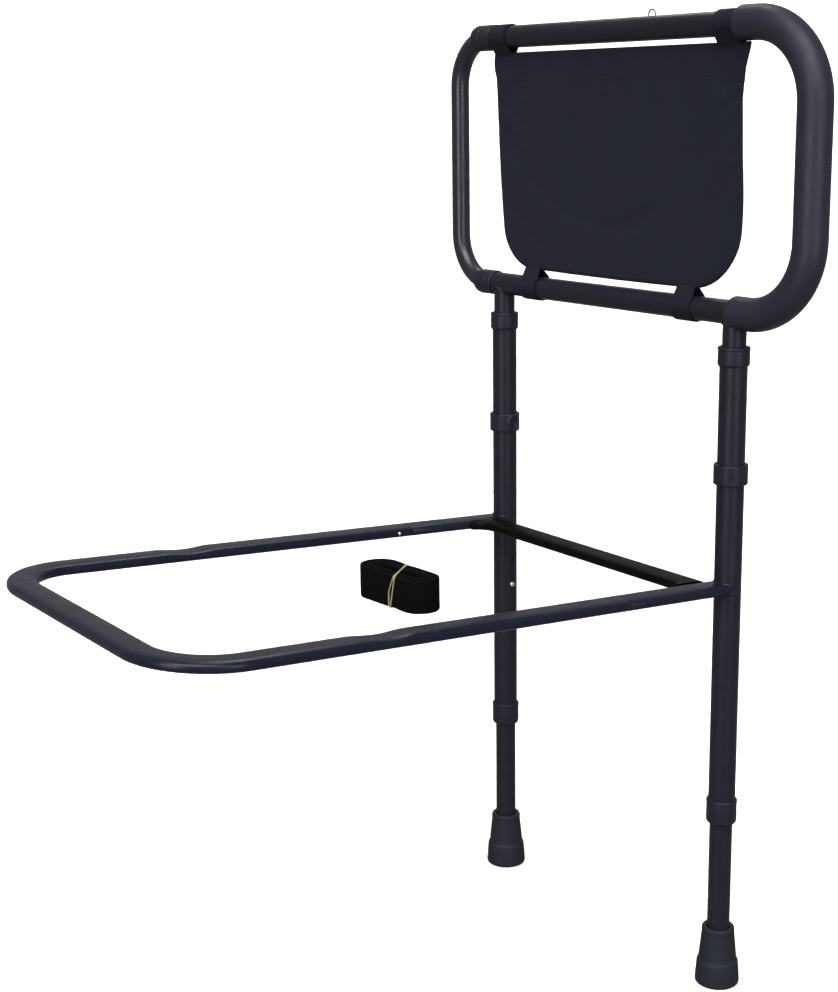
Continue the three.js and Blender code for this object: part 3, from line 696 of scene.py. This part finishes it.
def front_loop():
    outer, inner = oval(OVAL_W, OVAL_H, 14), oval(OVAL_W - 2 * WALL, OVAL_H - 2 * WALL, 14)
    path = loop_path()
    outers = [outer * EASED] + [outer] * (len(path) - 2) + [outer * EASED]
    path[1] = (path[0][0].lerp(path[1][0], 0.15), path[1][1])
    path[-2] = (path[-1][0].lerp(path[-2][0], 0.15), path[-2][1])
    points, faces = hollow_sweep(path, outers, inner, UP)
    return saddle(points), faces


def cross_bar():
    """The bar between the arms, flaring on the mattress side where it runs into each arm."""
    end = LEG_X - OVAL_W / 2 - 0.3
    rings = []
    for x in np.sin(np.linspace(-math.pi / 2, math.pi / 2, 61)) * end:
        into = max(BAR_FILLET - (end + 0.3 - abs(x)), 0)
        flare = BAR_FILLET - math.sqrt(max(BAR_FILLET**2 - into**2, 0))
        shape = oval(OVAL_W, OVAL_H, 14)
        shape[:, 0] -= np.where(shape[:, 0] < 0, flare, 0)
        rings.append(np.stack([np.full(len(shape), x), shape[:, 0] - BAR_Y, shape[:, 1]], 1))
    return loft(rings)


def loop_hole_painted_shade(sign):
    """A thin black ring of painted shade round the loop's snap button. It stands on the tube for the shaded
    gap of the hole that the button stands in, as no hole is cut in the loop.
    """
    profile = [(2.3, 0), (3.0, 0), (3.1, 0.12), (2.9, 0.3), (2.4, 0.3)]
    shade_ring = laid_along_x(turned(profile, 32, closed=True))
    return moved(facing_in(moved(shade_ring, x=OVAL_W / 2 - 0.2), sign), x=sign * LEG_X, y=-LOOP_HOLE_Y)


def build_base():
    for name, sign in SIDES:
        add_piece(f"frame_arm_{name}", *tilted(coped_arm(sign)), NAVY_BASE, "frame",
                  (f"rear_arm_{name}",), "navy_coat")
        weld = moved(bead(oval_weld(), 1.5), x=sign * LEG_X)
        add_piece(f"frame_weld_{name}", *tilted(weld), NAVY_BASE, "frame", (), "navy_coat", 60)
        button = facing_in(button_shape(*LOOP_BUTTON, OVAL_W / 2 + 1.8), sign)
        button = moved(button, x=sign * LEG_X, y=-LOOP_HOLE_Y)
        node = f"loop_button_{name}"
        add_piece(f"snap_button_loop_{name}", *tilted(button), STEEL, node, (node,), "button_steel")
        # The black ring is painted shade: it stands for the shaded gap of the hole round the loop's snap
        # button.
        shade_ring = tilted(loop_hole_painted_shade(sign))
        add_piece(f"loop_hole_painted_shade_{name}", *shade_ring, BLACK, "front_loop", (), "navy_coat")
    add_piece("frame_front_loop", *tilted(front_loop()), NAVY_BASE, "front_loop",
              ("front_loop",), "navy_coat")
    add_piece("frame_cross_bar", *tilted(cross_bar()), BLACK, "frame", ("cross_bar",), "black_coat")


# ---- handle ----
def in_plane(x, z):
    return Vector((x, 0, z))


def right_end_path(x, steps=2):
    centre = RIGHT_X - RIGHT_BEND
    path = straight(in_plane(x, TOP_Z), in_plane(centre, TOP_Z), steps)[:-1]
    path += bend(in_plane(centre, TOP_Z - RIGHT_BEND), RIGHT_BEND, UP, EAST)
    path += bend(in_plane(centre, LOW_Z + RIGHT_BEND), RIGHT_BEND, EAST, -UP)
    return path + straight(in_plane(centre, LOW_Z), in_plane(x, LOW_Z), steps)[1:]


def left_end_path(x):
    centre = LEFT_X + LEFT_BEND
    path = [(in_plane(x, LOW_Z), -EAST)]
    path += bend(in_plane(centre, LOW_Z + LEFT_BEND), LEFT_BEND, -UP, -EAST)
    path += bend(in_plane(centre, TOP_Z - LEFT_BEND), LEFT_BEND, -EAST, UP)
    return path + [(in_plane(x, TOP_Z), EAST)]


def sleeve(start, radius, height, grooves):
    """A plastic sleeve along X, tapered where the thinner tube enters it."""
    end = SLEEVE_END
    profile = [(END_R + 0.1, start), (radius * 0.8, start), (radius * 0.9, start + 1.8), (radius, start + 6)]
    for groove in grooves:
        profile += [(radius, groove - 0.8), (radius - 0.5, groove - 0.3), (radius - 0.5, groove + 0.3),
                    (radius, groove + 0.8)]
    profile += [(radius, end - 1.2), (radius - 0.9, end), (RAIL_R + 0.1, end)]
    return moved(laid_along_x(turned(rounded(profile, 0.7), 56, closed=True)), z=height)


def grip_shape():
    path = right_end_path(GRIP_X, 4)
    path.insert(1, (path[0][0].lerp(path[1][0], 0.06), path[0][1]))
    path.insert(2, (path[0][0].lerp(path[2][0], 0.25), path[0][1]))
    path.insert(len(path) - 1, (path[-1][0].lerp(path[-2][0], 0.06), path[-1][1]))
    path.insert(len(path) - 2, (path[-1][0].lerp(path[-3][0], 0.25), path[-1][1]))
    count = len(path)
    ends = {0: 0.88, 1: 0.965, count - 2: 0.965, count - 1: 0.88}
    outer = [circle(GRIP_R * ends.get(i, 1.0), 56) for i in range(count)]
    return hollow_sweep(path, outer, circle(RAIL_R + 0.1, 56), NORTH)


def saddle_weld(radius, rail):
    """The line where an upright tube meets the rail above it."""
    angles = np.linspace(0, 2 * math.pi, 48, endpoint=False)
    x, y = radius * np.cos(angles), radius * np.sin(angles)
    return np.stack([x, y, -np.sqrt(np.maximum(rail**2 - y**2, 0.4))], 1)


def cut_with(piece, part):
    """Takes a closed shape away from a piece."""
    points, faces = part
    cutter = new_object("cutter", new_mesh("cutter", to_row(points).tolist(), faces))
    modifier = piece.modifiers.new("cut", "BOOLEAN")
    modifier.object, modifier.operation, modifier.solver = cutter, "DIFFERENCE", "EXACT"
    apply_modifiers(piece)
    bpy.data.objects.remove(cutter)
    piece.data.set_sharp_from_angle(angle=math.radians(SHARP))


def apply_modifiers(piece):
    shape = piece.evaluated_get(bpy.context.evaluated_depsgraph_get())
    mesh = bpy.data.meshes.new_from_object(shape)
    piece.modifiers.clear()
    piece.data = mesh


def build_handle():
    hoop = right_end_path(HOOP_END)
    add_piece("handle_rail", *hollow_sweep(hoop, circle(RAIL_R), circle(RAIL_R - WALL), NORTH),
              NAVY, "handle", ("handle_hoop",), "navy_coat")
    end = left_end_path(END_TIP)
    add_piece("handle_end_tube", *hollow_sweep(end, circle(END_R), circle(END_R - WALL), NORTH),
              NAVY_END, "handle", ("end_tube",), "navy_coat")
    sleeves = (("top", sleeve(-239, 14.75, TOP_Z, (-222, -210))),
               ("lower", sleeve(-236, 14.3, LOW_Z, (-212,))))
    for name, part in sleeves:
        add_piece(f"handle_sleeve_{name}", *part, COLLAR, "handle", (f"end_sleeve_{name}",), "collar_plastic")
    grip = add_piece("handle_grip", *grip_shape(), FOAM, "handle", ("grip",), "grip_foam")
    cut_with(grip, moved(turned([(STEM_R + 0.4, 700), (STEM_R + 0.4, LOW_Z)], 48), x=LEG_X))
    for name, sign in SIDES:
        tube = pierced_tube(STEM_R, STEM_IN, STEM_BOTTOM, STEM_TOP, [STEM_HOLE], facing_of(sign),
                            edge=0.4, rail=LOW_Z)
        add_piece(f"handle_stem_{name}", *placed_leg(tube, sign), NAVY, "handle",
                  (f"stem_{name}",), "navy_coat")
        weld = moved(bead(saddle_weld(STEM_R + 0.2, RAIL_R + 0.2), 1.4), x=sign * LEG_X, z=LOW_Z)
        add_piece(f"handle_weld_{name}", *weld, NAVY, "handle", (), "navy_coat", 60)
    build_eyelet()


def build_eyelet():
    """An arch of wire standing on the rail, its two ends through the tube's wall."""
    arch = [in_plane(EYELET_X - EYELET_R, TOP_Z + RAIL_R - 2)]
    arch += [in_plane(EYELET_X - EYELET_R * math.cos(a), TOP_Z + RAIL_R + 1 + EYELET_R * math.sin(a))
             for a in np.linspace(0, math.pi, 25)]
    arch.append(in_plane(EYELET_X + EYELET_R, TOP_Z + RAIL_R - 2))
    path = [(p, (b - a).normalized()) for a, p, b in zip(arch[:1] + arch, arch, arch[1:] + arch[-1:])]
    rings = sweep_rings(path, circle(0.85, 14), NORTH)
    add_piece("handle_eyelet", *loft(rings), WIRE, "handle", ("wire_eyelet",), "button_steel")


# ---- fabric pocket ----
ROWS, COLUMNS = 52, 84
# The pocket's side edges as (z, x), from the bottom up.
LEFT_EDGE = [(762, -188), (812, -190.5), (860, -196), (929, -201), (979, -203.5), (984, -206.5),
             (997, -207.5), (1004, -206)]
RIGHT_EDGE = [(762, 194), (816, 197), (852, 198), (900, 195), (949, 193), (980, 196), (996, 201), (1004, 203)]


def edge_at(edge, z):
    heights, places = np.array(edge, float).T
    return np.interp(z, heights, places)


def pocket_grid(top):
    """Points of one pocket panel, rows running up from the rounded bottom edge."""
    even = np.linspace(0, 1, COLUMNS)
    u = 0.55 * even + 0.45 * (0.5 - 0.5 * np.cos(math.pi * even))
    inset = np.minimum(u, 1 - u) * POCKET_WIDE
    corner = np.where(u < 0.5, CORNER_LEFT, CORNER_RIGHT)
    lift = np.where(inset < corner, corner - np.sqrt(np.maximum(corner**2 - (corner - inset) ** 2, 0)), 0)
    bottom = POCKET_BOTTOM + lift - BOTTOM_SAG * np.sin(math.pi * u**1.3)
    grid = np.zeros((ROWS, COLUMNS, 3))
    for row, t in enumerate(np.linspace(0, 1, ROWS)):
        z = bottom + t * (top - bottom)
        left, right = edge_at(LEFT_EDGE, z), edge_at(RIGHT_EDGE, z)
        grid[row, :, 0] = left + u * (right - left)
        grid[row, :, 2] = z
    return grid


def grid_faces(index):
    """Quads of a grid whose points are numbered by index[row, column]."""
    return [
        (index[r, c], index[r, c + 1], index[r + 1, c + 1], index[r + 1, c])
        for r in range(ROWS - 1)
        for c in range(COLUMNS - 1)
    ]


def pocket_cloth():
    """Both panels, sewn together along the sides and the bottom. Returns points, faces and what is held."""
    back, front = pocket_grid(POCKET_TOP), pocket_grid(MOUTH_Z)
    u = np.linspace(0, 1, COLUMNS)[None, :]
    t = np.linspace(0, 1, ROWS)[:, None]
    back[:, :, 1] = -BACK_BULGE * np.sin(math.pi * u) ** 0.5 * np.sin(math.pi * t * 0.9) ** 0.7
    front[:, :, 1] = FRONT_BULGE * np.sin(math.pi * u) ** 0.6 * np.sin(math.pi / 2 * t) ** 0.7
    # Shallow slanting waves, a little deeper on the front.
    for grid, size in ((back, 0.8), (front, 1.0)):
        x, z = grid[:, :, 0], grid[:, :, 2]
        grid[:, :, 1] += size * np.sin(x / 31 + z / 90) * np.sin(math.pi * u) * np.sin(math.pi * t)
    back[:, 1:-1, 1] -= HEM_RAISE * (back[:, 1:-1, 2] > HEM_Z)
    front[:, 1:-1, 1] += HEM_RAISE * (front[:, 1:-1, 2] > MOUTH_Z - HEM_DEEP)
    index_back = np.arange(ROWS * COLUMNS).reshape(ROWS, COLUMNS)
    index_front = index_back + ROWS * COLUMNS
    index_front[0, :] = index_back[0, :]
    for column in (0, -1):
        nearest = np.abs(back[:, column, 2][None, :] - front[:, column, 2][:, None]).argmin(1)
        front[:, column] = back[nearest, column]
        index_front[:, column] = index_back[nearest, column]
    points = np.concatenate([back.reshape(-1, 3), front.reshape(-1, 3)])
    faces = grid_faces(index_back) + [tuple(reversed(f)) for f in grid_faces(index_front)]
    # A face whose corners were sewn together keeps one of each, and goes if fewer than three are left.
    faces = [f for f in (tuple(dict.fromkeys(face)) for face in faces) if len(f) > 2]
    held = np.zeros(len(points))
    held[index_back[:, [0, -1]].ravel()] = 1
    held[index_back[0, :]] = 1
    held[index_back[-1, :]] = 1
    return points, faces, held


def without_loose(points, faces, held):
    """Drops the points that no face uses."""
    used = sorted({k for face in faces for k in face})
    renumber = {old: new for new, old in enumerate(used)}
    return points[used], [tuple(renumber[k] for k in face) for face in faces], held[used]


def settle(piece, held, most=2.4, frames=24):
    """Lets the cloth hang from its held points, and keeps the shape that it takes."""
    rest = np.array([v.co[:] for v in piece.data.vertices])
    group = piece.vertex_groups.new(name="held")
    for i, weight in enumerate(held):
        group.add([i], float(weight), "REPLACE")
    cloth = piece.modifiers.new("cloth", "CLOTH")
    settings = cloth.settings
    settings.quality, settings.mass, settings.air_damping = 8, 0.15, 2.0
    settings.tension_stiffness = settings.compression_stiffness = 40
    settings.shear_stiffness, settings.bending_stiffness = 20, 6
    settings.effector_weights.gravity = 0.25
    settings.vertex_group_mass = "held"
    settings.shrink_min = -0.003
    cloth.collision_settings.use_collision = False
    cloth.point_cache.frame_start, cloth.point_cache.frame_end = 1, frames
    for step in range(1, frames + 1):
        bpy.context.scene.frame_set(step)
    shape = piece.evaluated_get(bpy.context.evaluated_depsgraph_get())
    hung = np.array([v.co[:] for v in shape.data.vertices])
    piece.modifiers.clear()
    piece.vertex_groups.clear()
    bpy.context.scene.frame_set(1)
    shift = hung - rest
    far = np.linalg.norm(shift, axis=1, keepdims=True)
    kept = rest + shift * np.minimum(1, most / 1000 / np.maximum(far, 1e-9))
    piece.data.vertices.foreach_set("co", kept.ravel())
    piece.data.update()


def strip_solid(middle, half_widths, centres, normals, thickness):
    """A band of cloth: middle holds its [y, z] points, with a half width and an x centre for each."""
    rings = []
    edge = np.array([(-1, -0.5), (-0.985, -0.85), (-0.95, -1), (0.95, -1), (0.985, -0.85), (1, -0.5),
                     (1, 0.5), (0.985, 0.85), (0.95, 1), (-0.95, 1), (-0.985, 0.85), (-1, 0.5)])
    for (y, z), half, centre, (ny, nz) in zip(middle, half_widths, centres, normals):
        depth = edge[:, 1] * thickness / 2
        rings.append(np.stack([centre + edge[:, 0] * half, y + ny * depth, z + nz * depth], 1))
    return loft(rings)


def rail_loop_path(height, tip, radius, steps=40):
    """A closed line from the tip round the rail and back to the tip, with its outward normals."""
    reach = tip - height
    towards = math.copysign(1, reach)
    lean = math.acos(min(radius / abs(reach), 1)) * 0.98
    up = towards * math.pi / 2
    angles = np.linspace(up + lean, up - lean + 2 * math.pi, steps)
    ring = np.stack([radius * np.cos(angles), height + radius * np.sin(angles)], 1)
    normals = np.stack([np.cos(angles), np.sin(angles)], 1)
    start, end = np.array([(-0.9 * towards, tip), (0.9 * towards, tip)])
    first, last = np.linspace(start, ring[0], 8)[:-1], np.linspace(ring[-1], end, 8)[1:]
    path = np.concatenate([first, ring, last])
    path_normals = np.concatenate([np.repeat(normals[:1], 7, 0), normals, np.repeat(normals[-1:], 7, 0)])
    return path, path_normals


def rail_loop(name, node, height, tip, widths):
    """A sewn loop round a rail. widths maps the share of the way from its tip to its left and right edges."""
    path, normals = rail_loop_path(height, tip, RAIL_R + LOOP_GAP)
    share = abs(path[:, 1] - tip) / np.max(abs(path[:, 1] - tip))
    table = np.array(widths, float)
    left, right = np.interp(share, table[:, 0], table[:, 1]), np.interp(share, table[:, 0], table[:, 2])
    part = strip_solid(path, (right - left) / 2, (right + left) / 2, normals, LOOP_THICK)
    return add_piece(name, *part, BINDING, "handle", (node,), "pocket_fabric", 50)


def seam_line(top, inset):
    """[x, z] points that run down the pocket's left side, along its bottom and up its right side."""
    grid = pocket_grid(top)[:, :, [0, 2]]
    outline = np.concatenate([grid[::-1, 0], grid[0, 1:], grid[1:, -1]])
    ahead = directions(outline)
    return outline + inset * np.stack([-ahead[:, 1], ahead[:, 0]], 1)


def stitch(start, end, thick=0.35):
    along = (end - start) / np.linalg.norm(end - start)
    side = np.cross(along, (0, 1, 0))
    rings = []
    for t, size in ((0, 0.3), (0.15, 0.85), (0.5, 1), (0.85, 0.85), (1, 0.3)):
        point = start + (end - start) * t
        rings.append([point + thick * size * (side * a + np.array((0, 1, 0)) * b) for a, b in circle(1, 6)])
    return loft(rings)


def stitches(name, line, pitch=3.4, length=2.3):
    """A row of stitches along a line of points."""
    line = np.asarray(line, float)
    gaps = np.linalg.norm(np.diff(line, axis=0), axis=1)
    along = np.concatenate([[0], np.cumsum(gaps)])

    def point_at(distance):
        return np.array([np.interp(distance, along, line[:, k]) for k in range(3)])

    starts = np.arange(pitch / 2, along[-1] - pitch, pitch)
    parts = [stitch(point_at(start), point_at(start + length)) for start in starts]
    return add_piece(name, *joined(*parts), THREAD, "handle", (), "pocket_fabric", 60)


def surface_y(piece, x, z, side):
    """How far a cloth piece stands out at a place, looking along Y from one side."""
    start = Vector(to_row((x, side * 60, z)))
    hit, place, _, _ = piece.ray_cast(start, Vector((0, -side, 0)))
    return (place.y - ORIGIN[1]) * 1000 if hit else 0


def build_pocket():
    points, faces, held = without_loose(*pocket_cloth())
    pocket = add_piece("pocket", points, faces, CLOTH, "handle",
                       ("pocket_back_panel", "pocket_front_panel"), "pocket_fabric", 180)
    settle(pocket, held)
    skin = pocket.modifiers.new("thickness", "SOLIDIFY")
    skin.thickness, skin.offset = 0.0011, 0
    smooth = pocket.modifiers.new("smooth", "SUBSURF")
    smooth.levels = smooth.render_levels = 1
    apply_modifiers(pocket)
    loops = (
        ("tab", "left", TOP_Z, TAB_TIP, [(0, -202, -170), (0.3, -201, -173), (1, -201, -173)]),
        ("tab", "right", TOP_Z, TAB_TIP, [(0, 158.5, 194), (0.2, 159.5, 188.6), (1, 160.5, 187.5)]),
        ("strap", "left", LOW_Z, STRAP_TIP, [(0, -147, -121), (0.3, -145, -117), (1, -145, -117)]),
        ("strap", "right", LOW_Z, STRAP_TIP, [(0, 108, 134), (0.3, 109, 137), (1, 109, 137)]),
    )
    tabs = [rail_loop(f"pocket_{kind}_loop_{name}", f"pocket_{kind}_{name}", height, tip, widths)
            for kind, name, height, tip, widths in loops]
    seams = (
        ("hem", -1, [(x, HEM_Z) for x in np.linspace(-198, 190, 140)]),
        ("mouth", 1, [(x, MOUTH_Z - HEM_DEEP) for x in np.linspace(-196, 190, 140)]),
        ("back_seam", -1, seam_line(HEM_Z - 2, SEAM_INSET)),
        ("front_seam", 1, seam_line(MOUTH_Z - 2, SEAM_INSET)),
    )
    for name, side, places in seams:
        line = [(x, surface_y(pocket, x, z, side) + side * 0.1, z) for x, z in places]
        stitches(f"pocket_stitches_{name}", line)


# ---- rolled strap ----
def roll_point(angle, inset):
    """A point of the roll's outline, moved inwards. It has two straight sides, drawn in at the band."""
    half, radius = ROLL_REACH, ROLL_R - inset
    turn = angle % (2 * math.pi)
    straight_part = 2 * half / (2 * half + math.pi * ROLL_R)
    share = turn / (2 * math.pi) * 2 % 1
    flip = 1 if turn < math.pi else -1
    if share < straight_part:
        x, y = half - 2 * half * share / straight_part, radius
    else:
        a = math.pi / 2 + math.pi * (share - straight_part) / (1 - straight_part)
        x, y = -half + radius * math.cos(a), radius * math.sin(a)
    x, y = x * flip, y * flip
    waist = BACK_WAIST if y > 0 else FRONT_WAIST
    pinch = 1 - WAIST_DEEP * math.exp(-(((x - waist) / WAIST_LONG) ** 2))
    return x, y * pinch


def placed_roll(points):
    """Turns and moves points of the roll to where it stands."""
    turn = np.array(Matrix.Rotation(ROLL_TURN, 3, "Z"))
    return np.asarray(points) @ turn.T + STRAP_MIDDLE


def build_strap():
    angles = np.linspace(0.35 * math.pi, ROLL_TURNS * 2 * math.pi, ROLL_TURNS * 64)
    line = np.array([roll_point(a, 0.9 + STRAP_PITCH * a / (2 * math.pi)) for a in angles])
    ahead = directions(line)
    out = np.stack([ahead[:, 1], -ahead[:, 0]], 1)
    half_t, half_w = STRAP_THICK / 2, STRAP_WIDE / 2
    edge = np.array([(-1, -0.93), (-0.7, -1), (0.7, -1), (1, -0.93),
                     (1, 0.93), (0.7, 1), (-0.7, 1), (-1, 0.93)])
    rings = []
    for i, (point, side) in enumerate(zip(line, out)):
        wobble = 0.5 * math.sin(i * 0.021) + 0.35 * math.sin(i * 0.1)
        rings.append([(*(point + side * a * half_t), half_w + wobble + b * (half_w - 0.3)) for a, b in edge])
    points, faces = loft(rings)
    strap = add_piece("strap_roll", placed_roll(points), faces, WEBBING, "strap",
                      ("strap_hank",), "webbing", 50)
    build_band()


def build_band():
    """A rubber band pulled round the roll's waist in two strands that cross over the near top edge."""
    front, back, low, high = -20.2, 20.0, -0.6, STRAP_WIDE + 1.2
    strands = [
        [(7.5, front, low), (7.8, front, 17), (16, front, high), (-10.5, back, high), (-8, back, low)],
        [(9.5, front, low), (13.5, front, 17), (17.5, front, high), (-12.5, back, high), (-11, back, low)],
    ]
    parts = []
    for corners in strands:
        line = []
        for start, end in zip(corners, corners[1:] + corners[:1]):
            start, end = np.array(start), np.array(end)
            line += [start + (end - start) * t for t in np.linspace(0, 1, 13)[:-1]]
        line = np.array(line)
        for _ in range(3):
            line = (np.roll(line, 1, 0) + 2 * line + np.roll(line, -1, 0)) / 4
        parts.append(bead(line, 0.7, 0.1))
    points, faces = joined(*parts)
    add_piece("strap_rubber_band", placed_roll(points), faces, BAND, "strap",
              ("rubber_band",), "band_rubber", 60)


# ---- assembly ----
def dress_inner_parts():
    """Hidden steel parts keep their CAD shape."""
    for node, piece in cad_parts.items():
        if "spring" in node or "washer" in node:
            piece.data.materials.clear()
            piece.data.materials.append(SPRING)


make_camera()
make_studio()
for side_name, side_sign in SIDES:
    build_leg(side_name, side_sign)
build_base()
build_handle()
build_pocket()
build_strap()
dress_inner_parts()
